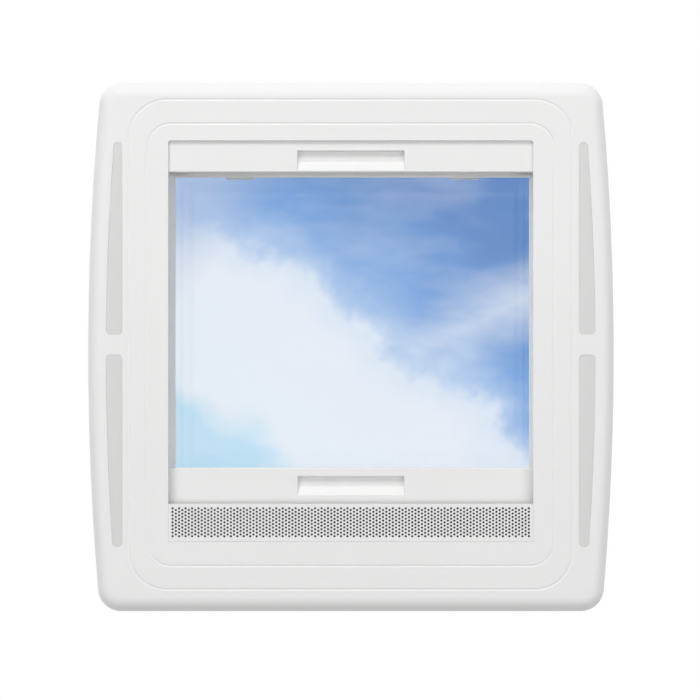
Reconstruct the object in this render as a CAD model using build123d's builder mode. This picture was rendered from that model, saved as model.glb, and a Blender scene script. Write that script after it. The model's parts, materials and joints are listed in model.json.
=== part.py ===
from build123d import *
from math import cos, radians, sin, sqrt
import os

# Caravan roof vent for a square cut-out: hinged double dome, lifting bar, two pleated blinds,
# a permanently open vent strip and four light strips. All lengths are in millimetres.
# The origin is the centre of the cut-out, in the plane of the roof's outer skin. +Z points out
# of the roof and the room side faces -Z. The front (-Y) opens and the rear (+Y) is hinged.

# Roof
cut_out = 400
roof_depth = 34
ceiling = -roof_depth

# Clearances and overruns
seat_gap = 0.1      # between pieces that are fixed to each other
run_gap = 0.3       # between pieces that slide or turn past each other
pin_gap = 0.06      # around pins and the tube, radial
overrun = 2         # what a cut runs past a face
bite = 0.5          # what a rib or boss reaches into the wall that carries it

# Outer frame: sleeve through the roof, flange on the roof, upstand and rim under the dome
sleeve_gap = 3
sleeve_wall = 2.5
sleeve_end = 1
sleeve_corner = 8
seal_depth = 1.5
seal_step = 2.5        # from the upstand to the seal
seal_margin = 4        # from the seal to the flange's edge
flange_reach = 39.5
flange_corner = 32
flange_wall = 3
flange_round = 1.2
ledge_gap = 1
upstand_step = 3.5
upstand_wall = 3
rim_rise = 33.5        # from the flange's top to the rim's top
rim_lip = 4
rim_wall = 2.5
rim_seal_height = 3.7
rim_seal_width = 5
vent_slot_count = 10
vent_slot_width = 12
vent_slot_pitch = 18
vent_slot_rise = 3.5
vent_slot_height = 9

# Liner of the shaft and its hooks, part of the room-side frame
liner_space = 7.2      # between the liner and the sleeve
liner_wall = 1.5
liner_corner = 6
liner_rise = 3.5       # above the flange
liner_rear_step = 21   # from the sleeve's rear wall to the liner's
hook_reach = 2.6
hook_height = 2.4
hook_length = 18
hook_side_shares = (-0.7, -0.225, 0.225)
hook_front_shares = (-0.65, 0, 0.65)

# Room-side frame: its bowed outline, and the opening for the blinds and the vent strip
face_depth = 32
face_overhang = 65.4
front_overhang = 65.3
rear_overhang = 68.3
side_radius = 2844
bulge_y = 8
corner_round = 24
edge_roll = 16
face_wall = 2.5
opening_step = 3.3     # from the liner in to the opening
opening_front_step = 5  # from the cut-out's edge out to the opening's front edge
opening_length = 363.5
opening_corner = 2.5
rib_wall = 2
rib_step = 12
rib_end_shares = (-0.6, 0, 0.6)

# Decorative grooves: distances from the opening's sides, front and vent strip, and the corner
outer_groove = (39.5, 41, 48, 38)
inner_groove = (21, 17, 24.5, 24)
groove_width = 3
groove_floor = 0.3
groove_depth = 0.5

# Vent strip and the filter behind it
vent_length = 37.5
vent_pitch_x = 3.24
vent_pitch_y = 3.49
vent_hole = 2.3
vent_side_margin = 4
vent_front_margin = 4.4
vent_tab = 7.5
vent_tab_wall = 1.5
vent_tab_width = 15
vent_tab_pitch = 90
vent_tab_count = 3
vent_rib = 2
filter_depth = 2
filter_edge = 2.4

# Light strips
slot_step = 46         # from the opening's side to the slot's inner edge
slot_rim = 20.7        # from the frame's side to the slot's outer edge
slot_near = 10.3
slot_far = 202.2
slot_middle = -1
slot_round = 4.2
lens_recess = 0.2
lens_lip = 2
lens_lip_wall = 1.5
pocket_gap = 0.5
pocket_wall = 1.5
pocket_depth = 11.5
board_wall = 1.2
chip_size = 3
chip_height = 0.8
chip_count = 8
chip_inset = 6
lead_radius = 1.1
lead_bend = 20
lead_inset = 24.3
socket_width = 22
socket_length = 12
socket_wall = 2
socket_floor = 4

# Blinds: two levels, the blackout blind nearer the room
bar_recess = 3
bar_height = 7
level_gap = 0.8
bar_side_gap = 0.5     # from a bar's end to the rail
bar_round = 0.8
blackout_lap = 1       # of the bar behind the opening's front edge
blackout_width = 32
flyscreen_lap = 2.5
flyscreen_width = 37.5
grip_length = 107.4
grip_depth = 5.3
grip_width = 19.4
grip_floor = 10.8
blackout_grip_inset = 10.7
flyscreen_grip_inset = 8.1
rail_step = 2          # from the opening's side out to the rail
rail_width = 11
rail_height = 18.5
rail_groove = 6
rail_lip = 2           # wall beside the narrow mouth of each groove
mouth_height = 3.6
groove_height = 6
glider_height = 5.4
glider_length = 28
spigot_length = 10
spigot_height = 3
cord_radius = 0.5
cord_gap = 0.3
cord_inset = 4         # from the rail's inner face
fold_count = 24
blackout_pack = 19.5
flyscreen_pack = 15.9
pleat_ridge = 1.6
strip_wall = 3
blackout_travel = 298
stop_wall = 1.5        # end stops that the blackout bar comes to rest on
stop_length = 32
stop_height = 5
rail_screw_count = 4
rail_screw_inset = 20

# Tray that holds the blinds, and its deck with the air slots
tray_gap = 0.3
tray_wall = 2.5
tray_rear_gap = 2
deck_wall = 2
sill_lap = 1.5         # of the deck's front edge past the blackout bar
duct_slot_count = 12
duct_slot_width = 20
duct_slot_pitch = 28
duct_slot_gap = 1.5
duct_slot_length = 13

# Claws that clamp the roof between the two frames
claw_offset = 90
claw_inset = 5.6       # from the sleeve's outer face to the screw
claw_width = 24
claw_wall = 3
claw_pad = 1.5
claw_overlap = 14
claw_tip = 10
claw_screw = 3.9
claw_head = 6.4
claw_head_height = 2.6
boss_radius = 3.3
boss_end = 6

# Dome and hinges
dome_step = 19.5       # from the upstand to the dome's outer face
dome_wall = 3
dome_bottom = 16
dome_peak = 88
dome_crown = 18        # from the middle of an edge up to the peak
dome_corner = 40
dome_round = 20
pane_wall = 2.5
pane_corner = 56
hinge_x = 130
hinge_step = 11.5      # from the upstand to the pin
hinge_drop = 12        # from the pane down to the pin
hinge_width = 44
knuckle_radius = 4.5
knuckle_width = 10
pin_radius = 2.5
pin_head = 1.5
block_depth = 6.5
block_height = 13.5
leaf_wall = 4
leaf_pad = 2.5
leaf_pad_length = 11
leaf_screw_x = 17
dome_open = 50

# Lifting bar
bar_y_step = 11.8      # from the front wall to the tube
bar_drop = 20          # from the pane down to the tube
tube_radius = 8
tube_bore = 6.6
arm_gap = 0.6
arm_wall = 4
arm_height = 14
arm_eye = 10
arm_reach = 330
arm_ratio = 1.28
follower_radius = 4
slot_gap = 0.3
slot_steps = 11
guide_wall = 3
guide_margin = 5.5
guide_edge = 9         # from the follower's path to the plate's ends
guide_top_edge = 7.5
guide_corner = 5
bracket_x = 120
bracket_width = 18
bracket_ring = 9.6
bracket_open = 5.5     # from the tube's middle to the open side of the ring
bracket_web = 5
bracket_pad = 30
bracket_pad_wall = 3
bracket_pad_length = 16
bracket_screw_x = 10.5
clip_x = 60
clip_width = 24
clip_wall = 2
clip_lip = 2           # from the tube's middle to the cradle's end
clip_foot = 3
clip_height = 12

# Screws
screw_radius = 1.5
screw_head = 3
screw_head_height = 1.6
socket_share = 0.45    # the drive recess, as a share of the head
screw_reach = 5

os.makedirs("parts", exist_ok=True)

# Places that several pieces share, from the roof's cut-out inwards
face = ceiling - face_depth
plate_top = face + face_wall
sleeve_half = cut_out / 2 - sleeve_gap
sleeve_inner = sleeve_half - sleeve_wall
liner_outer = sleeve_inner - liner_space
liner_half = liner_outer - liner_wall
liner_rear_outer = sleeve_inner - liner_rear_step
liner_rear = liner_rear_outer - liner_wall
ledge_half = liner_outer + ledge_gap
opening_half = liner_half - opening_step
opening_front = -cut_out / 2 - opening_front_step
opening_rear = opening_front + opening_length
vent_rear = opening_rear + vent_length
face_half = cut_out / 2 + face_overhang
face_front = -cut_out / 2 - front_overhang
face_rear = cut_out / 2 + rear_overhang

# Blinds
rail_inner = opening_half + rail_step
rail_back = rail_inner + rail_width
bar_half = rail_inner - bar_side_gap
blackout_front = opening_front - blackout_lap
blackout_rear = blackout_front + blackout_width
flyscreen_rear = opening_rear + flyscreen_lap
flyscreen_front = flyscreen_rear - flyscreen_width
blackout_bottom = face + bar_recess
flyscreen_bottom = blackout_bottom + bar_height + level_gap
pleat_front = blackout_front - run_gap - blackout_pack
pleat_rear = flyscreen_rear + run_gap + flyscreen_pack
deck_bottom = plate_top + rail_height
deck_top = deck_bottom + deck_wall
deck_front = blackout_rear + sill_lap
tray_half = rail_back + tray_gap
tray_front = pleat_front - strip_wall - tray_gap
tray_rear = vent_rear + tray_rear_gap
duct_slot_front = pleat_rear + run_gap + strip_wall + duct_slot_gap
duct_slot_y = duct_slot_front + duct_slot_length / 2

# Light strips
slot_inner = opening_half + slot_step
pocket_top = plate_top + pocket_depth
board_top = pocket_top + board_wall
chip_x = slot_inner + chip_inset
lead_y = face_front + lead_inset
lead_z = board_top + lead_radius
rib_side_y = (tray_front + rib_step, slot_middle, tray_rear + rib_step)

# Outer frame, claws and dome
flange_top = seal_depth + flange_wall
upstand_half = sleeve_half + upstand_step
upstand_inner = upstand_half - upstand_wall
flange_half = upstand_half + flange_reach
rim_top = flange_top + rim_rise
liner_top = flange_top + liner_rise
claw_at = sleeve_half - claw_inset
claw_foot = ceiling - claw_pad - claw_wall
claw_spots = [(claw_at, -claw_offset), (claw_at, claw_offset)]
dome_half = upstand_half + dome_step
dome_radius = (dome_half**2 + dome_crown**2) / (2 * dome_crown)
pane_bottom = rim_top + rim_seal_height + run_gap
pane_top = pane_bottom + pane_wall
pane_half = dome_half - dome_wall - seat_gap
hinge_y = upstand_half + hinge_step
hinge_z = pane_bottom - hinge_drop
block_middle = hinge_z + knuckle_radius - block_height / 2
leaf_pad_y = hinge_y + knuckle_radius - leaf_pad_length / 2
bar_y = -upstand_inner + bar_y_step
bar_z = pane_bottom - bar_drop
arm_inner = liner_outer + arm_gap
guide_x = upstand_inner - guide_wall
light_ends = {"front": -1, "rear": 1}
sides = {"left": -1, "right": 1}


def save(part, name):
    part.label = name
    export_step(part, f"parts/{name}.step")


def square(half, corner, mode=Mode.ADD):
    RectangleRounded(2 * half, 2 * half, corner, mode=mode)


def field(half, front, rear, corner=0, mode=Mode.ADD):
    with Locations((0, (front + rear) / 2)):
        if corner:
            RectangleRounded(2 * half, rear - front, corner, mode=mode)
        else:
            Rectangle(2 * half, rear - front, mode=mode)


# Places of the lifting bar as the dome opens: its pivot on the dome and its follower in the slot
def bar_pivot_at(angle):
    turn = radians(angle)
    y = bar_y - hinge_y
    z = bar_z - hinge_z
    return hinge_y + y * cos(turn) + z * sin(turn), hinge_z - y * sin(turn) + z * cos(turn)


def follower_at(angle):
    y, z = bar_pivot_at(angle)
    tilt = radians(arm_ratio * angle)
    return y + arm_reach * cos(tilt), z - arm_reach * sin(tilt)


# Screws of the hinge blocks, in from the inside of the rear wall
def block_screw_planes():
    shift = hinge_width / 2 - knuckle_width - screw_head
    return [
        Plane((side * hinge_x + along, upstand_inner, block_middle), z_dir=(0, 1, 0))
        for side in (-1, 1)
        for along in (-shift, shift)
    ]


# Corners of a guide plate: its front, rear and top, round the follower's path
def guide_bounds():
    path = [follower_at(dome_open * step / (slot_steps - 1)) for step in range(slot_steps)]
    front = min(y for y, z in path) - guide_edge
    rear = max(y for y, z in path) + guide_edge + guide_margin
    return front, rear, max(z for y, z in path) + guide_top_edge


# Screws of the guide plates, flush with the plates' inner faces
def guide_screw_planes():
    front, rear, top = guide_bounds()
    return [
        Plane((side * guide_x, y, z), z_dir=(side, 0, 0))
        for side in (-1, 1)
        for y, z in (
            (front + guide_margin, flange_top + guide_margin),
            (rear - guide_margin, top - guide_margin),
            (rear - guide_margin, flange_top + guide_margin),
        )
    ]


# Screws through the pane into the pads of the hinges and the brackets
def leaf_screw_spots(side):
    return [(side * hinge_x + shift, leaf_pad_y) for shift in (-leaf_screw_x, leaf_screw_x)]


def bracket_screw_spots(side):
    return [(side * bracket_x + shift, bar_y) for shift in (-bracket_screw_x, bracket_screw_x)]


# Outline of the room-side frame, moved in by an inset: straight ends and bowed sides
def frame_outline(inset):
    half = face_half - inset
    radius = side_radius - inset
    front = face_front + inset
    rear = face_rear - inset

    def side(y):
        return half - radius + sqrt(radius**2 - (y - bulge_y) ** 2)

    with BuildSketch() as outline:
        with BuildLine():
            Line((-side(front), front), (side(front), front))
            ThreePointArc((side(front), front), (half, bulge_y), (side(rear), rear))
            Line((side(rear), rear), (-side(rear), rear))
            ThreePointArc((-side(rear), rear), (-half, bulge_y), (-side(front), front))
        make_face()
        fillet(outline.vertices(), radius=corner_round - inset)
    return outline.sketch


# Outline of one light strip: straight inside, following the frame's bowed side outside
def light_slot(side, end, grow):
    radius = side_radius - slot_rim
    half = face_half - slot_rim

    def outer(y):
        return half - radius + sqrt(radius**2 - (y - bulge_y) ** 2)

    near = slot_middle + end * slot_near
    far = slot_middle + end * slot_far
    middle = (near + far) / 2
    with BuildSketch() as slot:
        with BuildLine():
            Line((side * slot_inner, near), (side * slot_inner, far))
            Line((side * slot_inner, far), (side * outer(far), far))
            ThreePointArc(
                (side * outer(far), far),
                (side * outer(middle), middle),
                (side * outer(near), near),
            )
            Line((side * outer(near), near), (side * slot_inner, near))
        make_face()
        fillet(slot.vertices(), radius=slot_round)
        if grow:
            offset(amount=grow)
    return slot.sketch


# V groove that runs round the face
def groove_loop(side_step, front_step, rear_step, corner):
    half = opening_half + side_step
    front = opening_front - front_step
    rear = vent_rear + rear_step
    wide = groove_width / 2
    low = groove_floor / 2
    with BuildPart() as loop:
        for spread, mode in ((1, Mode.ADD), (-1, Mode.SUBTRACT)):
            with BuildSketch(Plane.XY.offset(face)):
                edge = spread * wide
                field(half + edge, front - edge, rear + edge, corner + edge)
            with BuildSketch(Plane.XY.offset(face + groove_depth)):
                edge = spread * low
                field(half + edge, front - edge, rear + edge, corner + edge)
            loft(mode=mode)
    return loop.part


# Screw along +Z with its head below the seat plane at z = 0
def make_screw(radius, length, head, head_height):
    with BuildPart() as screw:
        Cylinder(radius, length, align=(Align.CENTER, Align.CENTER, Align.MIN))
        Cylinder(head, head_height, align=(Align.CENTER, Align.CENTER, Align.MAX))
        fillet(screw.faces().sort_by(Axis.Z)[0].edges(), radius=head_height / 3)
        with BuildSketch(Plane.XY.offset(-head_height)):
            RegularPolygon(head * socket_share, 6)
        extrude(amount=head_height / 2, mode=Mode.SUBTRACT)
    return screw.part


def rail_screw_places(side):
    first = pleat_front + rail_screw_inset
    pitch = (pleat_rear - pleat_front - 2 * rail_screw_inset) / (rail_screw_count - 1)
    x = side * (rail_inner + (rail_groove + rail_width) / 2)
    return [(x, first + pitch * count, deck_bottom) for count in range(rail_screw_count)]


# Everything that is empty behind the face of the room-side frame
with BuildPart() as frame_hollow:
    with BuildSketch(Plane.XY.offset(plate_top)):
        add(frame_outline(face_wall))
    extrude(amount=ceiling + overrun - plate_top)
    hollow_floor = frame_hollow.faces().sort_by(Axis.Z)[0]
    fillet(hollow_floor.edges(), radius=edge_roll - face_wall)
    # Tray walls round the blinds
    with BuildSketch(Plane.XY.offset(plate_top)):
        field(tray_half + tray_wall, tray_front - tray_wall, tray_rear + tray_wall)
        field(tray_half, tray_front, tray_rear, mode=Mode.SUBTRACT)
    extrude(amount=deck_top - plate_top, mode=Mode.SUBTRACT)
    # Ribs between the tray and the skirt, and the walls of the four light pockets
    with BuildSketch(Plane.XY.offset(plate_top)):
        for y in rib_side_y:
            with Locations((0, y)):
                Rectangle(2 * face_half, rib_wall)
        for share in rib_end_shares:
            with Locations((share * cut_out / 2, 0)):
                Rectangle(rib_wall, face_rear - face_front + overrun)
        field(tray_half, tray_front, tray_rear, mode=Mode.SUBTRACT)
    extrude(amount=board_top - plate_top, mode=Mode.SUBTRACT)
    with BuildSketch(Plane.XY.offset(plate_top)):
        for side in sides.values():
            for end in light_ends.values():
                add(light_slot(side, end, lens_lip + pocket_gap + pocket_wall))
                add(light_slot(side, end, lens_lip + pocket_gap), mode=Mode.SUBTRACT)
    extrude(amount=pocket_top - plate_top, mode=Mode.SUBTRACT)

with BuildPart() as interior_frame:
    with BuildSketch(Plane.XY.offset(face)):
        add(frame_outline(0))
    extrude(amount=face_depth)
    face_edges = interior_frame.faces().sort_by(Axis.Z)[0].edges()
    fillet(face_edges, radius=edge_roll)
    add(frame_hollow.part, mode=Mode.SUBTRACT)
    # Opening for the window and the vent strip, and the slots of the light strips
    with BuildSketch(Plane.XY.offset(face)) as face_openings:
        field(opening_half, opening_front, vent_rear)
        fillet(face_openings.vertices().group_by(Axis.Y)[0], radius=opening_corner)
        for side in sides.values():
            for end in light_ends.values():
                add(light_slot(side, end, 0))
    extrude(amount=face_wall, mode=Mode.SUBTRACT)
    # End stops of the blackout bar, beside the rails
    stop_x = rail_inner - run_gap - stop_wall / 2
    stop_y = blackout_rear + blackout_travel + run_gap + stop_length / 2
    stop_z = plate_top + stop_height / 2
    with Locations([(side * stop_x, stop_y, stop_z) for side in sides.values()]):
        Box(stop_wall, stop_length, stop_height)
    # Deck over the blinds, with slots for the air that comes through the vent strip
    with BuildSketch(Plane.XY.offset(deck_bottom)):
        field(tray_half + tray_wall, tray_front - tray_wall, tray_rear + tray_wall)
        field(liner_half, deck_front, liner_rear, liner_corner, Mode.SUBTRACT)
        with Locations((0, duct_slot_y)):
            with GridLocations(duct_slot_pitch, 0, duct_slot_count, 1):
                Rectangle(duct_slot_width, duct_slot_length, mode=Mode.SUBTRACT)
    extrude(amount=deck_wall)
    with Locations(*rail_screw_places(-1), *rail_screw_places(1)):
        Cylinder(screw_radius + seat_gap, 2 * deck_wall + overrun, mode=Mode.SUBTRACT)
    # Liner of the shaft, up through the roof
    with BuildSketch(Plane.XY.offset(deck_bottom)):
        field(liner_outer, -liner_outer, liner_rear_outer, liner_corner + liner_wall)
        field(liner_half, -liner_half, liner_rear, liner_corner, Mode.SUBTRACT)
    extrude(amount=liner_top - deck_bottom)
    # Hooks that snap over the ledge of the outer frame
    hook_z = flange_top + run_gap + hook_height / 2
    hook_middle = liner_outer + (hook_reach - bite) / 2
    for share in hook_side_shares:
        with Locations([(side * hook_middle, share * cut_out / 2, hook_z) for side in (-1, 1)]):
            Box(hook_reach + bite, hook_length, hook_height)
    with Locations([(share * cut_out / 2, -hook_middle, hook_z) for share in hook_front_shares]):
        Box(hook_length, hook_reach + bite, hook_height)
    for loop in (outer_groove, inner_groove):
        add(groove_loop(*loop), mode=Mode.SUBTRACT)
save(interior_frame.part, "interior_frame")

# Perforated strip, flush with the face, with tabs behind the frame and a rib along its front
with BuildPart() as vent_grille:
    with BuildSketch(Plane.XY.offset(face)):
        field(opening_half - seat_gap, opening_rear, vent_rear - seat_gap)
    extrude(amount=face_wall)
    tab_x = opening_half - filter_edge / 2 + vent_tab / 2
    with Locations((-tab_x, duct_slot_y, plate_top), (tab_x, duct_slot_y, plate_top)):
        Box(
            vent_tab + filter_edge,
            duct_slot_length,
            vent_tab_wall,
            align=(Align.CENTER, Align.CENTER, Align.MIN),
        )
    with Locations((0, (vent_rear + tray_rear) / 2 - vent_tab_wall / 2, plate_top)):
        with GridLocations(vent_tab_pitch, 0, vent_tab_count, 1):
            Box(
                vent_tab_width,
                tray_rear - vent_rear + vent_tab_wall - seat_gap,
                vent_tab_wall,
                align=(Align.CENTER, Align.CENTER, Align.MIN),
            )
    with BuildSketch(Plane.XY.offset(plate_top)):
        field(opening_half - seat_gap, opening_rear, opening_rear + vent_rib)
    extrude(amount=vent_tab_wall)
    with BuildSketch(Plane.XY.offset(face)):
        columns = int((opening_half - vent_side_margin) / vent_pitch_x) + 1
        rows = int((vent_length - 2 * vent_front_margin) / vent_pitch_y) + 1
        first_row = opening_rear + vent_front_margin
        with Locations((0, first_row + (rows - 1) * vent_pitch_y / 2)):
            with GridLocations(2 * vent_pitch_x, vent_pitch_y, columns, rows):
                Circle(vent_hole / 2)
            with GridLocations(2 * vent_pitch_x, vent_pitch_y, columns - 1, rows - 1):
                Circle(vent_hole / 2)
    extrude(amount=face_wall, mode=Mode.SUBTRACT)
save(vent_grille.part, "vent_grille")

with BuildPart() as vent_filter:
    with BuildSketch(Plane.XY.offset(plate_top)):
        field(opening_half - filter_edge, opening_rear + filter_edge, vent_rear - filter_edge)
    extrude(amount=filter_depth)
save(vent_filter.part, "vent_filter")

# Light strips: lens, board with its chips, leads and socket
for end_name, end in light_ends.items():
    for side_name, side in sides.items():
        with BuildPart() as light_lens:
            with BuildSketch(Plane.XY.offset(face + lens_recess)):
                add(light_slot(side, end, -seat_gap))
            extrude(amount=face_wall - lens_recess)
            with BuildSketch(Plane.XY.offset(plate_top)):
                add(light_slot(side, end, lens_lip))
            extrude(amount=lens_lip_wall)
        save(light_lens.part, f"light_lens_{end_name}_{side_name}")

        with BuildPart() as light_board:
            with BuildSketch(Plane.XY.offset(pocket_top)):
                add(light_slot(side, end, lens_lip + pocket_gap + pocket_wall))
            extrude(amount=board_wall)
            chip_pitch = (slot_far - slot_near) / chip_count
            chip_y = slot_middle + end * (slot_near + slot_far) / 2
            with Locations((side * chip_x, chip_y, pocket_top)):
                with GridLocations(0, chip_pitch, 1, chip_count):
                    Box(
                        chip_size,
                        chip_size,
                        chip_height,
                        align=(Align.CENTER, Align.CENTER, Align.MAX),
                    )
        save(light_board.part, f"light_board_{end_name}_{side_name}")

with BuildPart() as light_socket:
    socket_x = rib_wall + socket_width / 2
    socket_height = lead_z + 2 * lead_radius + socket_wall - plate_top
    with BuildSketch(Plane.XY.offset(plate_top)):
        with Locations((socket_x, lead_y)):
            RectangleRounded(socket_width, socket_length, socket_wall / 2)
    extrude(amount=socket_height)
    with BuildSketch(Plane.XY.offset(plate_top + socket_floor)):
        with Locations((socket_x, lead_y)):
            Rectangle(socket_width - 2 * socket_wall, socket_length - 2 * socket_wall)
    extrude(amount=socket_height - socket_floor, mode=Mode.SUBTRACT)
save(light_socket.part, "light_socket")

with BuildPart() as light_leads:
    lead_start = slot_middle - slot_far + lead_bend
    for side, lead_end in ((-1, rib_wall), (1, rib_wall + socket_width)):
        with BuildLine(Plane.XY.offset(lead_z)) as route:
            FilletPolyline(
                (side * chip_x, lead_start),
                (side * chip_x, lead_y),
                (lead_end, lead_y),
                radius=lead_bend,
            )
        with BuildSketch(Plane(route.line @ 0, z_dir=route.line % 0)):
            Circle(lead_radius)
        sweep()
        with Locations((side * chip_x, slot_middle, lead_z)):
            Cylinder(lead_radius, 2 * slot_near + lead_bend, rotation=(90, 0, 0))
save(light_leads.part, "light_leads")


# Rails with one groove for each blind, narrower at its mouth
def make_rail(side):
    length = pleat_rear - pleat_front
    inner = side * rail_inner
    back = side * rail_back
    with BuildPart() as rail:
        with BuildSketch(Plane.XZ.offset(-pleat_front)):
            with Locations(((inner + back) / 2, plate_top + rail_height / 2)):
                Rectangle(rail_width, rail_height)
            for bottom in (blackout_bottom, flyscreen_bottom):
                groove_x = inner + side * (rail_lip + rail_groove) / 2
                with Locations((groove_x, bottom + bar_height / 2)):
                    Rectangle(rail_groove - rail_lip, groove_height, mode=Mode.SUBTRACT)
                with Locations((inner, bottom + bar_height / 2)):
                    Rectangle(2 * rail_lip + bite, mouth_height, mode=Mode.SUBTRACT)
        extrude(amount=-length)
        with Locations(*rail_screw_places(side)):
            Cylinder(
                screw_radius + pin_gap,
                screw_reach,
                align=(Align.CENTER, Align.CENTER, Align.MAX),
                mode=Mode.SUBTRACT,
            )
    return rail.part


for side_name, side in sides.items():
    save(make_rail(side), f"blind_rail_{side_name}")


# Strips across both ends of the rails, for the cords and the fixed ends of the cloth
def make_end_strip(front, beam_bottom):
    with BuildPart() as strip:
        with BuildSketch(Plane.XZ.offset(-front)):
            for side in (-1, 1):
                with Locations((side * (rail_inner + rail_back) / 2, plate_top + rail_height / 2)):
                    Rectangle(rail_width, rail_height)
            with Locations((0, (beam_bottom + deck_bottom) / 2)):
                Rectangle(2 * rail_inner + bite, deck_bottom - beam_bottom)
            for bottom in (blackout_bottom, flyscreen_bottom):
                for side in (-1, 1):
                    cord_x = side * (rail_inner + cord_inset)
                    with Locations((cord_x, bottom + bar_height / 2)):
                        Circle(cord_radius + pin_gap, mode=Mode.SUBTRACT)
        extrude(amount=-strip_wall)
    return strip.part


save(make_end_strip(pleat_front - strip_wall, plate_top), "front_end_strip")
save(make_end_strip(pleat_rear + run_gap, flyscreen_bottom - level_gap), "rear_end_strip")


def make_cords(bottom):
    front = pleat_front - strip_wall
    rear = pleat_rear + run_gap + strip_wall
    with BuildPart() as cords:
        for side in (-1, 1):
            place = (side * (rail_inner + cord_inset), (front + rear) / 2, bottom + bar_height / 2)
            with Locations(place):
                Cylinder(cord_radius, rear - front, rotation=(90, 0, 0))
    return cords.part


save(make_cords(blackout_bottom), "blackout_cords")
save(make_cords(flyscreen_bottom), "flyscreen_cords")


# Cloth folded up: a block with a ridge at the top and bottom of each fold
def make_pleats(front, rear, bottom):
    low = bottom + level_gap / 2
    high = bottom + bar_height - level_gap / 2
    pitch = (rear - front) / fold_count
    low_line = [(rear, low)]
    top_line = [(rear, high - pleat_ridge)]
    for count in reversed(range(fold_count)):
        start = front + count * pitch
        low_line += [(start + pitch / 2, low + pleat_ridge), (start, low)]
        top_line += [(start + pitch / 2, high), (start, high - pleat_ridge)]
    with BuildPart() as pleats:
        with BuildSketch(Plane.YZ.offset(-bar_half)):
            with BuildLine():
                Polyline(*low_line, *reversed(top_line), close=True)
            make_face()
        extrude(amount=2 * bar_half)
    return pleats.part


save(make_pleats(pleat_front, blackout_front - run_gap, blackout_bottom), "blackout_pleats")
save(make_pleats(flyscreen_rear + run_gap, pleat_rear, flyscreen_bottom), "flyscreen_pleats")


# Handle bar with a finger recess and a pocket in each end
def make_bar(front, rear, bottom, grip_y):
    with BuildPart() as bar:
        with BuildSketch(Plane.XY.offset(bottom)):
            field(bar_half, front, rear)
        extrude(amount=bar_height)
        room_face = bar.faces().sort_by(Axis.Z)[0]
        fillet(room_face.edges().filter_by(Axis.X), radius=bar_round)
        with BuildSketch(Plane.YZ.offset(-grip_length / 2)):
            with BuildLine():
                Polyline(
                    (grip_y, bottom),
                    (grip_y, bottom + grip_depth),
                    (grip_y + grip_floor, bottom + grip_depth),
                    (grip_y + grip_width, bottom),
                    close=True,
                )
            make_face()
        extrude(amount=grip_length, mode=Mode.SUBTRACT)
        middle = (front + rear) / 2
        for side in (-1, 1):
            pocket_x = side * (bar_half - spigot_length / 2)
            with Locations((pocket_x, middle, bottom + bar_height / 2)):
                Box(
                    spigot_length + 2 * seat_gap,
                    glider_length / 2 + 2 * seat_gap,
                    spigot_height + 2 * seat_gap,
                    mode=Mode.SUBTRACT,
                )
    return bar.part


def make_glider(front, rear, bottom, side):
    middle = ((front + rear) / 2, bottom + bar_height / 2)
    inner = rail_inner + rail_lip + run_gap
    outer = rail_inner + rail_groove - run_gap
    with BuildPart() as glider:
        with Locations((side * (inner + outer) / 2, *middle)):
            Box(outer - inner, glider_length, glider_height)
        fillet(glider.edges().filter_by(Axis.X), radius=bar_round)
        # Neck through the mouth of the groove into the end of the bar
        with Locations((side * (inner + bite + bar_half - spigot_length) / 2, *middle)):
            Box(inner + bite + spigot_length - bar_half, glider_length / 2, spigot_height)
        with Locations((side * (rail_inner + cord_inset), *middle)):
            Cylinder(
                cord_radius + cord_gap,
                glider_length + overrun,
                rotation=(90, 0, 0),
                mode=Mode.SUBTRACT,
            )
    return glider.part


blinds = {
    "blackout": (blackout_front, blackout_rear, blackout_bottom, blackout_grip_inset),
    "flyscreen": (flyscreen_front, flyscreen_rear, flyscreen_bottom, flyscreen_grip_inset),
}
for blind, (front, rear, bottom, grip_inset) in blinds.items():
    save(make_bar(front, rear, bottom, front + grip_inset), f"{blind}_bar")
    for side_name, side in sides.items():
        save(make_glider(front, rear, bottom, side), f"{blind}_glider_{side_name}")

rail_screw = make_screw(screw_radius, screw_reach + deck_wall, screw_head, screw_head_height)
with BuildPart() as rail_screws:
    for side in (-1, 1):
        for x, y, z in rail_screw_places(side):
            with Locations(Plane((x, y, z + deck_wall), z_dir=(0, 0, -1))):
                add(rail_screw)
save(rail_screws.part, "rail_screws")


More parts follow.
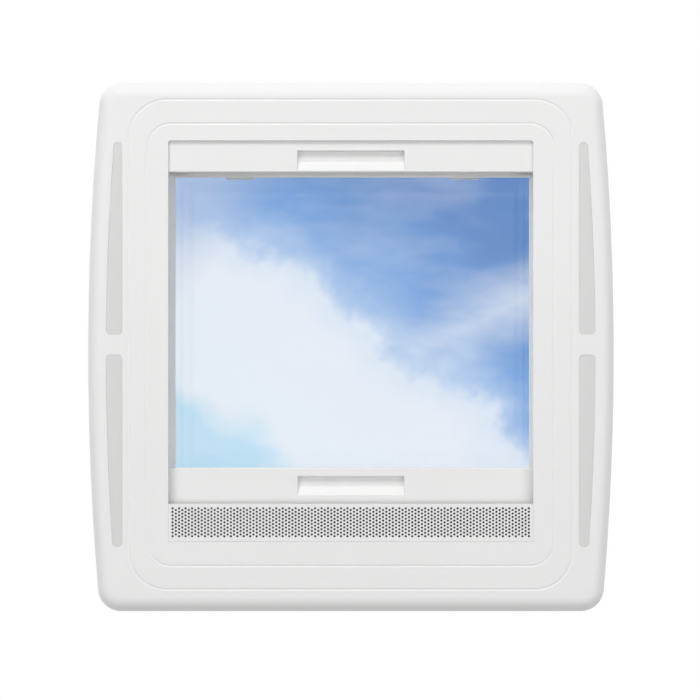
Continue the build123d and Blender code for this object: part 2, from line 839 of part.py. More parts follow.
# Outer frame on the roof, with its sleeve through the cut-out and the rim under the dome
with BuildPart() as outer_frame:
    with BuildSketch(Plane.XY.offset(seal_depth)):
        square(flange_half, flange_corner)
    extrude(amount=flange_wall)
    fillet(outer_frame.faces().sort_by(Axis.Z)[-1].edges(), radius=flange_round)
    with BuildSketch(Plane.XY.offset(seal_depth)):
        square(sleeve_half - sleeve_wall, sleeve_corner)
    extrude(amount=flange_wall, mode=Mode.SUBTRACT)
    with BuildSketch(Plane.XY.offset(ceiling + sleeve_end)):
        square(sleeve_half, sleeve_corner + sleeve_wall)
        square(sleeve_inner, sleeve_corner, Mode.SUBTRACT)
    extrude(amount=flange_top - ceiling - sleeve_end)
    with BuildSketch(Plane.XY.offset(seal_depth)):
        square(upstand_half, sleeve_corner + upstand_step)
        square(upstand_inner, sleeve_corner + upstand_step - upstand_wall, Mode.SUBTRACT)
    extrude(amount=rim_top - seal_depth)
    with BuildSketch(Plane.XY.offset(rim_top - rim_wall)):
        square(upstand_half + rim_lip, sleeve_corner + upstand_step + rim_lip)
        square(upstand_inner, sleeve_corner + upstand_step - upstand_wall, Mode.SUBTRACT)
    extrude(amount=rim_wall)
    # Ledge that the hooks of the room-side frame snap over
    with BuildSketch(Plane.XY.offset(seal_depth)):
        square(sleeve_inner + bite, sleeve_corner + bite)
        square(ledge_half, liner_corner + liner_wall + ledge_gap, Mode.SUBTRACT)
    extrude(amount=flange_wall)
    # Bosses for the screws of the claws
    with PolarLocations(0, 4):
        with Locations([(x, y, ceiling + boss_end) for x, y in claw_spots]):
            Cylinder(
                boss_radius,
                seal_depth + bite - ceiling - boss_end,
                align=(Align.CENTER, Align.CENTER, Align.MIN),
            )
    with PolarLocations(0, 4):
        with Locations([(x, y, ceiling + boss_end) for x, y in claw_spots]):
            Cylinder(
                claw_screw / 2 + pin_gap,
                -ceiling - boss_end,
                align=(Align.CENTER, Align.CENTER, Align.MIN),
                mode=Mode.SUBTRACT,
            )
    # Vent slots in the rear wall, between the hinges
    vent_slot_z = flange_top + vent_slot_rise + vent_slot_height / 2
    with Locations((0, upstand_half - upstand_wall / 2, vent_slot_z)):
        with GridLocations(vent_slot_pitch, 0, vent_slot_count, 1):
            Box(
                vent_slot_width,
                upstand_wall + overrun,
                vent_slot_height,
                mode=Mode.SUBTRACT,
            )
    # Holes for the screws of the hinge blocks and the guide plates
    with Locations(*block_screw_planes(), *guide_screw_planes()):
        Cylinder(screw_radius + seat_gap, 4 * upstand_wall, mode=Mode.SUBTRACT)
save(outer_frame.part, "outer_frame")

with BuildPart() as flange_seal:
    with BuildSketch():
        square(flange_half - seal_margin, flange_corner - seal_margin)
        square(upstand_half + seal_step, sleeve_corner + upstand_step + seal_step, Mode.SUBTRACT)
    extrude(amount=seal_depth)
save(flange_seal.part, "flange_seal")

with BuildPart() as rim_seal:
    seal_edge = upstand_half + rim_lip - run_gap
    seal_corner = sleeve_corner + upstand_step + rim_lip - run_gap
    with BuildSketch(Plane.XY.offset(rim_top)):
        square(seal_edge, seal_corner)
        square(seal_edge - rim_seal_width, seal_corner - rim_seal_width, Mode.SUBTRACT)
    extrude(amount=rim_seal_height)
    fillet(rim_seal.faces().sort_by(Axis.Z)[-1].edges(), radius=rim_seal_width / 3)
save(rim_seal.part, "rim_seal")

with BuildPart() as clamp_claws:
    claw_inner = liner_outer + ledge_gap / 2
    claw_reach = cut_out / 2 + claw_overlap
    with PolarLocations(0, 4):
        with Locations([(claw_inner, y, claw_foot) for x, y in claw_spots]):
            Box(
                claw_reach - claw_inner,
                claw_width,
                claw_wall,
                align=(Align.MIN, Align.CENTER, Align.MIN),
            )
        with Locations([(claw_reach, y, claw_foot) for x, y in claw_spots]):
            Box(
                claw_tip,
                claw_width,
                claw_wall + claw_pad,
                align=(Align.MAX, Align.CENTER, Align.MIN),
            )
    fillet(clamp_claws.edges().filter_by(Axis.Z), radius=claw_pad)
    with PolarLocations(0, 4):
        with Locations([(x, y, claw_foot) for x, y in claw_spots]):
            Cylinder(claw_screw / 2 + seat_gap, 3 * claw_wall, mode=Mode.SUBTRACT)
save(clamp_claws.part, "clamp_claws")

claw_bolt = make_screw(claw_screw / 2, -claw_foot - boss_end, claw_head / 2, claw_head_height)
with BuildPart() as claw_screws:
    with PolarLocations(0, 4):
        with Locations([(x, y, claw_foot) for x, y in claw_spots]):
            add(claw_bolt)
save(claw_screws.part, "claw_screws")


# Fixed half of a hinge: a block on the upstand with two knuckles round the pin
def make_hinge_block(side):
    x = side * hinge_x
    with BuildPart() as block:
        with Locations((x, upstand_half + block_depth / 2, block_middle)):
            Box(hinge_width, block_depth, block_height)
        knuckle_x = (hinge_width - knuckle_width) / 2
        for shift in (-knuckle_x, knuckle_x):
            with Locations((x + shift, hinge_y, hinge_z)):
                Cylinder(knuckle_radius, knuckle_width, rotation=(0, 90, 0))
            arm_depth = hinge_y - upstand_half
            with Locations((x + shift, upstand_half + arm_depth / 2, hinge_z)):
                Box(knuckle_width, arm_depth, 2 * knuckle_radius)
        with Locations((x, hinge_y, hinge_z)):
            Cylinder(
                knuckle_radius + run_gap,
                hinge_width - 2 * knuckle_width,
                rotation=(0, 90, 0),
                mode=Mode.SUBTRACT,
            )
            Cylinder(
                pin_radius + pin_gap,
                hinge_width + overrun,
                rotation=(0, 90, 0),
                mode=Mode.SUBTRACT,
            )
        with Locations(*block_screw_planes()):
            Cylinder(
                screw_radius + pin_gap,
                2 * (screw_reach + upstand_wall),
                mode=Mode.SUBTRACT,
            )
    return block.part


def make_hinge_pin(side):
    with BuildPart() as pin:
        with Locations((side * hinge_x, hinge_y, hinge_z)):
            Cylinder(pin_radius, hinge_width, rotation=(0, 90, 0))
        with Locations((side * (hinge_x + (hinge_width + pin_head) / 2), hinge_y, hinge_z)):
            Cylinder(pin_radius + pin_head, pin_head, rotation=(0, 90, 0))
    return pin.part


# Moving half of a hinge: one knuckle, a web and a pad under the pane
def make_hinge_leaf(side):
    x = side * hinge_x
    width = hinge_width - 2 * knuckle_width - 2 * run_gap
    with BuildPart() as leaf:
        with Locations((x, hinge_y, hinge_z)):
            Cylinder(knuckle_radius, width, rotation=(0, 90, 0))
        with Locations((x, hinge_y, (hinge_z + pane_bottom) / 2)):
            Box(width, leaf_wall, pane_bottom - hinge_z)
        with Locations((x, leaf_pad_y, pane_bottom - leaf_pad / 2)):
            Box(hinge_width, leaf_pad_length, leaf_pad)
        with Locations((x, hinge_y, hinge_z)):
            Cylinder(
                pin_radius + pin_gap,
                hinge_width + overrun,
                rotation=(0, 90, 0),
                mode=Mode.SUBTRACT,
            )
        with Locations([(px, py, pane_bottom) for px, py in leaf_screw_spots(side)]):
            Cylinder(screw_radius + pin_gap, 2 * leaf_pad + overrun, mode=Mode.SUBTRACT)
    return leaf.part


for side_name, side in sides.items():
    save(make_hinge_block(side), f"hinge_block_{side_name}")
    save(make_hinge_pin(side), f"hinge_pin_{side_name}")
    save(make_hinge_leaf(side), f"dome_hinge_{side_name}")

block_screw = make_screw(screw_radius, upstand_wall + screw_reach, screw_head, screw_head_height)
with BuildPart() as hinge_block_screws:
    with Locations(*block_screw_planes()):
        add(block_screw)
save(hinge_block_screws.part, "hinge_block_screws")


# Plate with the curved slot that a follower of the lifting bar runs in
def make_guide_plate(side):
    front, rear, top = guide_bounds()
    with BuildPart() as plate:
        with BuildSketch(Plane.YZ.offset(side * guide_x)):
            with Locations(((front + rear) / 2, (flange_top + top) / 2)):
                RectangleRounded(rear - front, top - flange_top, guide_corner)
        extrude(amount=side * guide_wall)
        with BuildSketch(Plane.YZ.offset(side * guide_x)):
            path = [follower_at(dome_open * step / (slot_steps - 1)) for step in range(slot_steps)]
            with BuildLine() as route:
                Spline(*path)
            trace(line_width=2 * (follower_radius + slot_gap))
            with Locations(path[0], path[-1]):
                Circle(follower_radius + slot_gap)
        extrude(amount=side * guide_wall, mode=Mode.SUBTRACT)
        with Locations(*guide_screw_planes()):
            Cylinder(screw_radius + pin_gap, 4 * guide_wall, mode=Mode.SUBTRACT)
            Cone(
                screw_head + pin_gap,
                screw_radius + pin_gap,
                screw_radius,
                align=(Align.CENTER, Align.CENTER, Align.MIN),
                mode=Mode.SUBTRACT,
            )
    return plate.part


for side_name, side in sides.items():
    save(make_guide_plate(side), f"guide_plate_{side_name}")

# Flat-headed screws of the guide plates: their heads lie in cone-shaped sinks
guide_reach = guide_wall + upstand_wall
with BuildPart() as guide_screw:
    Cylinder(screw_radius, guide_reach, align=(Align.CENTER, Align.CENTER, Align.MIN))
    Cone(screw_head, screw_radius, screw_radius, align=(Align.CENTER, Align.CENTER, Align.MIN))
    with BuildSketch():
        RegularPolygon(screw_head * socket_share, 6)
    extrude(amount=screw_radius / 2, mode=Mode.SUBTRACT)
with BuildPart() as guide_screws:
    with Locations(*guide_screw_planes()):
        add(guide_screw.part)
save(guide_screws.part, "guide_screws")

# Cradles on the front wall that the lifting bar lies in
with BuildPart() as bar_clips:
    for x in (-clip_x, clip_x):
        with BuildSketch(Plane.YZ.offset(x - clip_width / 2)):
            cradle = tube_radius + run_gap + clip_wall
            with Locations((bar_y, bar_z)):
                Circle(cradle)
            with Locations((bar_y - cradle, bar_z)):
                Rectangle(2 * cradle, cradle, align=(Align.MIN, Align.MIN), mode=Mode.SUBTRACT)
            with Locations((bar_y + clip_lip, bar_z)):
                Rectangle(
                    cradle,
                    2 * cradle,
                    align=(Align.MIN, Align.CENTER),
                    mode=Mode.SUBTRACT,
                )
            with Locations((-upstand_inner, bar_z - cradle)):
                Rectangle(clip_foot, clip_height + cradle, align=(Align.MIN, Align.MIN))
            with Locations((bar_y, bar_z - cradle)):
                Rectangle(
                    bar_y + upstand_inner,
                    clip_wall,
                    align=(Align.MAX, Align.MIN),
                )
            with Locations((bar_y, bar_z)):
                Circle(tube_radius + run_gap, mode=Mode.SUBTRACT)
        extrude(amount=clip_width)
save(bar_clips.part, "bar_clips")


# Solid inside one face of the dome: square with round corners, cut by a large sphere
def dome_body(inset):
    with BuildPart() as body:
        with BuildSketch(Plane.XY.offset(dome_bottom - (overrun if inset else 0))):
            square(dome_half - inset, dome_corner - inset)
        extrude(amount=dome_peak)
        with Locations((0, 0, dome_peak - dome_radius)):
            Sphere(dome_radius - inset, rotation=(90, 0, 0), mode=Mode.INTERSECT)
        fillet(body.faces().sort_by(Axis.Z)[-1].edges(), radius=dome_round - inset)
    return body.part


with BuildPart() as dome_shell:
    add(dome_body(0))
    add(dome_body(dome_wall), mode=Mode.SUBTRACT)
save(dome_shell.part, "dome_shell")

dome_screw_spots = [
    spot for side in (-1, 1) for spot in leaf_screw_spots(side) + bracket_screw_spots(side)
]
with BuildPart() as dome_pane:
    with BuildSketch(Plane.XY.offset(pane_bottom)):
        square(pane_half, pane_corner)
    extrude(amount=pane_wall)
    with Locations([(x, y, pane_bottom) for x, y in dome_screw_spots]):
        Cylinder(screw_radius + seat_gap, 3 * pane_wall, mode=Mode.SUBTRACT)
save(dome_pane.part, "dome_pane")

pane_screw = make_screw(screw_radius, pane_wall + leaf_pad, screw_head, screw_head_height)
with BuildPart() as dome_screws:
    for x, y in dome_screw_spots:
        with Locations(Plane((x, y, pane_top), z_dir=(0, 0, -1))):
            add(pane_screw)
save(dome_screws.part, "dome_screws")


# Bracket under the pane that the tube of the lifting bar turns in: a ring that is open inwards
def make_bracket(side):
    x = side * bracket_x
    with BuildPart() as bracket:
        with Locations((x, bar_y, bar_z)):
            Cylinder(bracket_ring, bracket_width, rotation=(0, 90, 0))
        with Locations((x, bar_y, (bar_z + pane_bottom) / 2)):
            Box(bracket_width, bracket_web, pane_bottom - bar_z)
        with Locations((x, bar_y, pane_bottom - bracket_pad_wall / 2)):
            Box(bracket_pad, bracket_pad_length, bracket_pad_wall)
        fillet(bracket.edges().filter_by(Axis.Z).group_by(Axis.Z)[-1], radius=bar_round)
        with Locations((x, bar_y, bar_z)):
            Cylinder(
                tube_radius + pin_gap,
                bracket_width + overrun,
                rotation=(0, 90, 0),
                mode=Mode.SUBTRACT,
            )
        with Locations((x, bar_y + bracket_open, bar_z)):
            Box(
                bracket_width + overrun,
                bracket_ring,
                2 * bracket_ring,
                align=(Align.CENTER, Align.MIN, Align.CENTER),
                mode=Mode.SUBTRACT,
            )
        with Locations([(px, py, pane_bottom) for px, py in bracket_screw_spots(side)]):
            Cylinder(screw_radius + pin_gap, 2 * bracket_pad_wall + overrun, mode=Mode.SUBTRACT)
    return bracket.part


# Flat side arm: an eye for the tube, a bar, and a round end at the follower
def make_arm(side):
    follower_y, follower_z = follower_at(0)
    with BuildPart() as arm:
        with BuildSketch(Plane.YZ.offset(side * arm_inner)):
            with Locations((bar_y, bar_z)):
                Circle(arm_eye)
            with Locations(((bar_y + follower_y) / 2, bar_z)):
                Rectangle(arm_reach, arm_height)
            with Locations((follower_y, follower_z)):
                Circle(arm_height / 2)
            with Locations((bar_y, bar_z)):
                Circle(tube_radius + pin_gap, mode=Mode.SUBTRACT)
            with Locations((follower_y, follower_z)):
                Circle(follower_radius / 2 + pin_gap, mode=Mode.SUBTRACT)
        extrude(amount=side * arm_wall)
    return arm.part


# Pin at the arm's end, with a roller that fits the slot of the guide plate
def make_follower(side):
    y, z = follower_at(0)
    roller_start = arm_inner + arm_wall + run_gap
    roller_end = upstand_inner - run_gap
    with BuildPart() as follower:
        with Locations((side * (arm_inner + roller_end) / 2, y, z)):
            Cylinder(follower_radius / 2, roller_end - arm_inner, rotation=(0, 90, 0))
        with Locations((side * (roller_start + roller_end) / 2, y, z)):
            Cylinder(follower_radius, roller_end - roller_start, rotation=(0, 90, 0))
    return follower.part


for side_name, side in sides.items():
    save(make_bracket(side), f"bar_bracket_{side_name}")
    save(make_arm(side), f"lift_arm_{side_name}")
    save(make_follower(side), f"arm_follower_{side_name}")

with BuildPart() as lift_bar_tube:
    tube_length = 2 * (arm_inner + arm_wall)
    with Locations((0, bar_y, bar_z)):
        Cylinder(tube_radius, tube_length, rotation=(0, 90, 0))
        Cylinder(tube_bore, tube_length + overrun, rotation=(0, 90, 0), mode=Mode.SUBTRACT)
save(lift_bar_tube.part, "lift_bar_tube")
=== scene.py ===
import json
import math

import bpy
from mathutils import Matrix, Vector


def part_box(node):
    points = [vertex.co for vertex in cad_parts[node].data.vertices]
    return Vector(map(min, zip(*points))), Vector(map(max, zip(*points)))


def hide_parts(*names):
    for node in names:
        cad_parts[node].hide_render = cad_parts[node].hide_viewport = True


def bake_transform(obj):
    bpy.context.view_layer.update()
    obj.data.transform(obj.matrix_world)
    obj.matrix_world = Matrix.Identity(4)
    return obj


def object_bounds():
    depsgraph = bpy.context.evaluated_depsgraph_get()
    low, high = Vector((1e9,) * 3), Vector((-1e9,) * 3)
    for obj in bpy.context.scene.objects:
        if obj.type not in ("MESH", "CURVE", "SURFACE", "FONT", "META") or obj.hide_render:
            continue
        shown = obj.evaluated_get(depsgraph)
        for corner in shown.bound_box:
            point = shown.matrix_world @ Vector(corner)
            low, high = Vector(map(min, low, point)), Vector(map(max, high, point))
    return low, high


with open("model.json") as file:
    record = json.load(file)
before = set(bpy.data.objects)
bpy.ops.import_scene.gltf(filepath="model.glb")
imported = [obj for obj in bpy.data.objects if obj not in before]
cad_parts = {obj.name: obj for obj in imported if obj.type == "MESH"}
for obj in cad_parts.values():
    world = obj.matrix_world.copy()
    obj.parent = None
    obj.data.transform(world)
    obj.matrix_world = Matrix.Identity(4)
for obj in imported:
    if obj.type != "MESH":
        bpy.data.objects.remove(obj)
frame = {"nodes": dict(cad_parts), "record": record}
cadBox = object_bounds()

# Caravan roof vent: finishes, folded blinds, studio. Metres; the room side faces -Z and the dome +Z.
nodes = frame["nodes"]
bevelSamples = 4
print("frame loaded:", len(nodes), "nodes")


# Node building: a socket is linked and a plain value is set
def feed(tree, socket, value):
    if isinstance(value, bpy.types.NodeSocket):
        tree.links.new(value, socket)
    else:
        socket.default_value = value


def addNode(tree, kind, given=None, **settings):
    node = tree.nodes.new("ShaderNode" + kind)
    for key, value in settings.items():
        setattr(node, key, value)
    for label, value in (given or {}).items():
        feed(tree, node.inputs[label], value)
    return node


def doMath(tree, operation, first, second=0.0, clamp=False):
    return addNode(tree, "Math", {0: first, 1: second}, operation=operation, use_clamp=clamp).outputs[0]


def remap(tree, value, low, high, newLow, newHigh):
    given = {"Value": value, "From Min": low, "From Max": high, "To Min": newLow, "To Max": newHigh}
    return addNode(tree, "MapRange", given).outputs[0]


def scaled(tree, vector, factor):
    return addNode(tree, "VectorMath", {0: vector, "Scale": factor}, operation="SCALE").outputs[0]


def splitAxes(tree, vector):
    return addNode(tree, "SeparateXYZ", {0: vector}).outputs


def objectPlace(tree):
    return addNode(tree, "TexCoord").outputs["Object"]


def addNoise(tree, place, scale, detail, roughness=0.5):
    given = {"Vector": place, "Scale": scale, "Detail": detail, "Roughness": roughness}
    return addNode(tree, "TexNoise", given).outputs[0]


def addBump(tree, height, strength, distance, **more):
    given = {"Height": height, "Strength": strength, "Distance": distance, **more}
    return addNode(tree, "Bump", given).outputs[0]


def roundEdges(tree, radius):
    return addNode(tree, "Bevel", {"Radius": radius}, samples=bevelSamples).outputs[0]


# Row of ridges along a coordinate, so many to a metre
def addRidges(tree, along, perMetre=1.0):
    phase = doMath(tree, "MULTIPLY", along, perMetre * math.pi)
    return doMath(tree, "ABSOLUTE", doMath(tree, "SINE", phase))


def mixColour(tree, share, first, second):
    node = addNode(tree, "Mix", data_type="RGBA")
    for socket, value in zip([s for s in node.inputs if s.enabled], (share, first, second)):
        feed(tree, socket, (*value, 1) if isinstance(value, tuple) else value)
    return next(s for s in node.outputs if s.enabled)


def mixShader(tree, share, first, second):
    return addNode(tree, "MixShader", {0: share, 1: first.outputs[0], 2: second.outputs[0]})


def startGroup(name, inputs, outputs):
    group = bpy.data.node_groups.new(name, "ShaderNodeTree")
    for label, value in inputs.items():
        socket = group.interface.new_socket(label, in_out="INPUT", socket_type="NodeSocketFloat")
        socket.default_value = value
    for label, kind in outputs.items():
        group.interface.new_socket(label, in_out="OUTPUT", socket_type="NodeSocket" + kind)
    return group, group.nodes.new("NodeGroupInput").outputs, group.nodes.new("NodeGroupOutput")


def endGroup(group, out, results):
    for label, socket in results.items():
        group.links.new(socket, out.inputs[label])
    return group


def useGroup(tree, group, **given):
    return addNode(tree, "Group", given, node_tree=group).outputs


# Fine grain of a moulded skin, with a faint slow change of tone
skinValues = {
    "inputs": {"grain": 1500.0, "depth": 0.02, "mottle": 0.03, "softEdge": 0.0005},
    "grainDetail": 2.0, "mottleScale": 11.0, "mottleDetail": 4.0, "glossSwing": 0.12, "relief": 0.001,
}


def mouldedSkinGroup():
    results = {"tone": "Float", "gloss": "Float", "normal": "Vector"}
    group, given, out = startGroup("mouldedSkin", skinValues["inputs"], results)
    place = objectPlace(group)
    fine = addNoise(group, place, given["grain"], skinValues["grainDetail"])
    slow = addNoise(group, place, skinValues["mottleScale"], skinValues["mottleDetail"])
    drift = doMath(group, "SUBTRACT", slow, 0.5)
    tone = doMath(group, "ADD", 1.0, doMath(group, "MULTIPLY", drift, given["mottle"]))
    height = doMath(group, "MULTIPLY", fine, given["depth"])
    normal = addBump(group, height, 1.0, skinValues["relief"], Normal=roundEdges(group, given["softEdge"]))
    gloss = doMath(group, "MULTIPLY", doMath(group, "SUBTRACT", fine, 0.5), skinValues["glossSwing"])
    return endGroup(group, out, {"tone": tone, "gloss": gloss, "normal": normal})


# Wear: a mask along sharp edges, broken up by noise
wearValues = {
    "inputs": {"radius": 0.0008, "amount": 0.5},
    "edgeSpan": (0.995, 0.9), "patchScale": 260.0, "patchDetail": 5.0, "patchSpan": (0.42, 0.62),
}


def edgeWearGroup():
    group, given, out = startGroup("edgeWear", wearValues["inputs"], {"mask": "Float"})
    facing = addNode(group, "NewGeometry").outputs["Normal"]
    sides = {0: roundEdges(group, given["radius"]), 1: facing}
    alike = addNode(group, "VectorMath", sides, operation="DOT_PRODUCT").outputs["Value"]
    edge = remap(group, alike, *wearValues["edgeSpan"], 0.0, 1.0)
    patches = addNoise(group, objectPlace(group), wearValues["patchScale"], wearValues["patchDetail"])
    broken = remap(group, patches, *wearValues["patchSpan"], 0.0, 1.0)
    worn = doMath(group, "MULTIPLY", edge, broken)
    return endGroup(group, out, {"mask": doMath(group, "MULTIPLY", worn, given["amount"], clamp=True)})


# Dust that settles in soft patches on what faces the sky
dustValues = {
    "inputs": {"amount": 0.3, "patch": 30.0}, "upwardSpan": (0.2, 1.0),
    "patchDetail": 8.0, "patchSpan": (0.38, 0.68), "patchShares": (0.15, 1.0),
    "speckScale": 900.0, "speckDetail": 2.0, "speckSpan": (0.3, 0.7), "speckShares": (0.5, 1.0),
}


def roadDustGroup():
    group, given, out = startGroup("roadDust", dustValues["inputs"], {"mask": "Float"})
    facing = addNode(group, "NewGeometry").outputs["Normal"]
    upward = remap(group, splitAxes(group, facing)["Z"], *dustValues["upwardSpan"], 0.0, 1.0)
    place = objectPlace(group)
    cloud = addNoise(group, place, given["patch"], dustValues["patchDetail"])
    cloud = remap(group, cloud, *dustValues["patchSpan"], *dustValues["patchShares"])
    specks = addNoise(group, place, dustValues["speckScale"], dustValues["speckDetail"])
    specks = remap(group, specks, *dustValues["speckSpan"], *dustValues["speckShares"])
    settled = doMath(group, "MULTIPLY", doMath(group, "MULTIPLY", cloud, specks), upward)
    return endGroup(group, out, {"mask": doMath(group, "MULTIPLY", settled, given["amount"], clamp=True)})


# Plain weave on the UV map of a cloth: height of the threads, and where they cover
weaveValues = {"inputs": {"threads": 900.0, "width": 0.6, "depth": 0.05}, "relief": 0.001}


def wovenThreadsGroup():
    results = {"height": "Float", "cover": "Float", "normal": "Vector"}
    group, given, out = startGroup("wovenThreads", weaveValues["inputs"], results)
    place = addNode(group, "UVMap", uv_map="weave").outputs[0]
    axes = splitAxes(group, scaled(group, place, given["threads"]))
    gap = doMath(group, "SUBTRACT", 1.0, given["width"])
    covers = [remap(group, addRidges(group, axes[axis]), gap, 1.0, 0.0, 1.0) for axis in ("X", "Y")]
    cover = doMath(group, "MAXIMUM", *covers)
    height = doMath(group, "MULTIPLY", doMath(group, "ADD", *covers), given["depth"])
    normal = addBump(group, height, 1.0, weaveValues["relief"])
    return endGroup(group, out, {"height": height, "cover": cover, "normal": normal})


mouldedSkin = mouldedSkinGroup()
edgeWear = edgeWearGroup()
roadDust = roadDustGroup()
wovenThreads = wovenThreadsGroup()
print("shared effects built")


# Input names of the shader are given with an underscore for a space
def startMaterial(name, roughness, **plain):
    material = bpy.data.materials.new(name)
    material.use_nodes = True
    surface = material.node_tree.nodes["Principled BSDF"]
    surface.inputs["Roughness"].default_value = roughness
    for label, value in plain.items():
        surface.inputs[label.replace("_", " ")].default_value = value
    return material, material.node_tree, surface


def link(tree, surface, **sources):
    for label, socket in sources.items():
        tree.links.new(socket, surface.inputs[label.replace("_", " ")])


def endMaterial(tree, shader):
    tree.links.new(shader.outputs[0], tree.nodes["Material Output"].inputs["Surface"])


# White moulded parts that the room sees
whiteFrame = {
    "colour": (0.86, 0.86, 0.855), "roughness": 0.40,
    "skin": {"grain": 1600.0, "depth": 0.012, "mottle": 0.02},
}

# White moulded parts on the roof, a little weathered
outerWhite = {
    "colour": (0.80, 0.80, 0.785), "roughness": 0.46,
    "skin": {"grain": 1300.0, "depth": 0.02, "mottle": 0.05},
    "worn": (0.88, 0.88, 0.87), "wear": {"radius": 0.0009, "amount": 0.5},
    "dusty": (0.46, 0.42, 0.36), "dust": {"amount": 0.22, "patch": 26.0}, "dustRoughness": 0.4,
}

# Black and grey moulded parts, and the cover of the leads
darkSkin = {"grain": 1100.0, "depth": 0.03, "mottle": 0.12}
darkWear = {"radius": 0.0006, "amount": 0.6}
blackPlastic = {
    "colour": (0.030, 0.030, 0.031), "roughness": 0.50, "skin": darkSkin,
    "worn": (0.12, 0.12, 0.12), "wear": darkWear,
}
greyPlastic = {
    "colour": (0.40, 0.41, 0.41), "roughness": 0.48, "skin": darkSkin,
    "worn": (0.52, 0.53, 0.53), "wear": darkWear,
}
leadCover = {
    "colour": (0.60, 0.60, 0.59), "roughness": 0.42, "skin": darkSkin,
    "worn": (0.64, 0.64, 0.63), "wear": darkWear,
}

# Rubber seal and sealing tape
rubberSeal = {
    "colour": (0.022, 0.022, 0.023), "roughness": 0.62,
    "skin": {"grain": 700.0, "depth": 0.05, "mottle": 0.2},
    "dusty": (0.36, 0.33, 0.29), "dust": {"amount": 0.25, "patch": 60.0}, "dustRoughness": 0.0,
}
sealTape = {
    "colour": (0.16, 0.16, 0.165), "roughness": 0.78,
    "skin": {"grain": 700.0, "depth": 0.12, "mottle": 0.2},
    "dusty": (0.36, 0.33, 0.29), "dust": {"amount": 0.35, "patch": 60.0}, "dustRoughness": 0.0,
}

# White powder coat of the rails and the lifting bar: a low orange peel, scuffed along its edges
whiteCoat = {
    "colour": (0.87, 0.87, 0.86), "roughness": 0.34,
    "skin": {"grain": 620.0, "depth": 0.045, "mottle": 0.03},
    "worn": (0.60, 0.60, 0.59), "wear": {"radius": 0.0004, "amount": 0.35},
}

# Frosted lenses of the light strips
frostedLens = {
    "colour": (0.705, 0.705, 0.70), "roughness": 0.5,
    "skin": {"grain": 2600.0, "depth": 0.015, "mottle": 0.03},
}


# Moulded or coated finish: its skin, then worn edges and dust where the finish has them
def makeMoulded(name, facts):
    material, tree, surface = startMaterial(name, facts["roughness"])
    skin = useGroup(tree, mouldedSkin, **facts["skin"])
    colour = scaled(tree, facts["colour"], skin["tone"])
    gloss = doMath(tree, "ADD", facts["roughness"], skin["gloss"])
    if "wear" in facts:
        wear = useGroup(tree, edgeWear, **facts["wear"])["mask"]
        colour = mixColour(tree, wear, colour, facts["worn"])
    if "dust" in facts:
        dust = useGroup(tree, roadDust, **facts["dust"])["mask"]
        colour = mixColour(tree, dust, colour, facts["dusty"])
        gloss = doMath(tree, "ADD", gloss, doMath(tree, "MULTIPLY", dust, facts["dustRoughness"]))
    link(tree, surface, Base_Color=colour, Roughness=gloss, Normal=skin["normal"])
    return material


# Zinc-plated steel of the screws, pins and claws
platedSteel = {
    "colour": (0.60, 0.60, 0.585), "roughness": 0.34, "roughnessSwing": (-0.06, 0.1),
    "spangle": 420.0, "spangleTones": (0.92, 1.05), "relief": (0.15, 0.0004),
    "tarnish": (0.42, 0.40, 0.36), "patchScale": 90.0, "patchDetail": 6.0, "patchSpan": (0.5, 0.75),
    "tarnishShare": 0.5,
}


def makePlatedSteel():
    facts = platedSteel
    material, tree, surface = startMaterial("platedSteel", facts["roughness"], Metallic=1.0)
    place = objectPlace(tree)
    spangle = addNode(tree, "TexVoronoi", {"Vector": place, "Scale": facts["spangle"]}).outputs["Color"]
    grey = addNode(tree, "RGBToBW", {0: spangle}).outputs[0]
    patches = addNoise(tree, place, facts["patchScale"], facts["patchDetail"])
    colour = scaled(tree, facts["colour"], remap(tree, grey, 0.0, 1.0, *facts["spangleTones"]))
    share = remap(tree, patches, *facts["patchSpan"], 0.0, facts["tarnishShare"])
    colour = mixColour(tree, share, colour, facts["tarnish"])
    gloss = remap(tree, grey, 0.0, 1.0, *[facts["roughness"] + swing for swing in facts["roughnessSwing"]])
    link(tree, surface, Base_Color=colour, Roughness=gloss, Normal=addBump(tree, patches, *facts["relief"]))
    return material


# Circuit boards behind the lenses: white solder mask, thin traces, yellow chips below
lightBoard = {
    "mask": (0.78, 0.79, 0.75), "roughness": 0.38, "relief": (0.3, 0.0001),
    "trace": (0.62, 0.64, 0.58), "traces": 160.0, "traceSpan": (0.35, 0.55),
    "chip": (0.80, 0.62, 0.10), "chipHeight": 0.0006, "levelNode": "light_board_front_left",
}


def makeLightBoard():
    facts = lightBoard
    material, tree, surface = startMaterial("lightBoard", facts["roughness"])
    axes = splitAxes(tree, objectPlace(tree))
    band = doMath(tree, "FRACT", doMath(tree, "MULTIPLY", axes["X"], facts["traces"]))
    low, high = facts["traceSpan"]
    above, below = doMath(tree, "GREATER_THAN", band, low), doMath(tree, "LESS_THAN", band, high)
    trace = doMath(tree, "MULTIPLY", above, below)
    colour = mixColour(tree, trace, facts["mask"], facts["trace"])
    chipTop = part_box(facts["levelNode"])[0].z + facts["chipHeight"]
    colour = mixColour(tree, doMath(tree, "LESS_THAN", axes["Z"], chipTop), colour, facts["chip"])
    link(tree, surface, Base_Color=colour, Normal=addBump(tree, trace, *facts["relief"]))
    return material


# Insect filter behind the vent strip: dark woven mesh, with painted shade between the threads and a painted
# highlight on their crowns
filterMesh = {
    "colour": (0.045, 0.045, 0.048), "roughness": 0.8, "threads": 900.0,
    "paintedShade": (0.4, 1.0, 0.3, 1.3), "relief": (0.8, 0.0003),
}


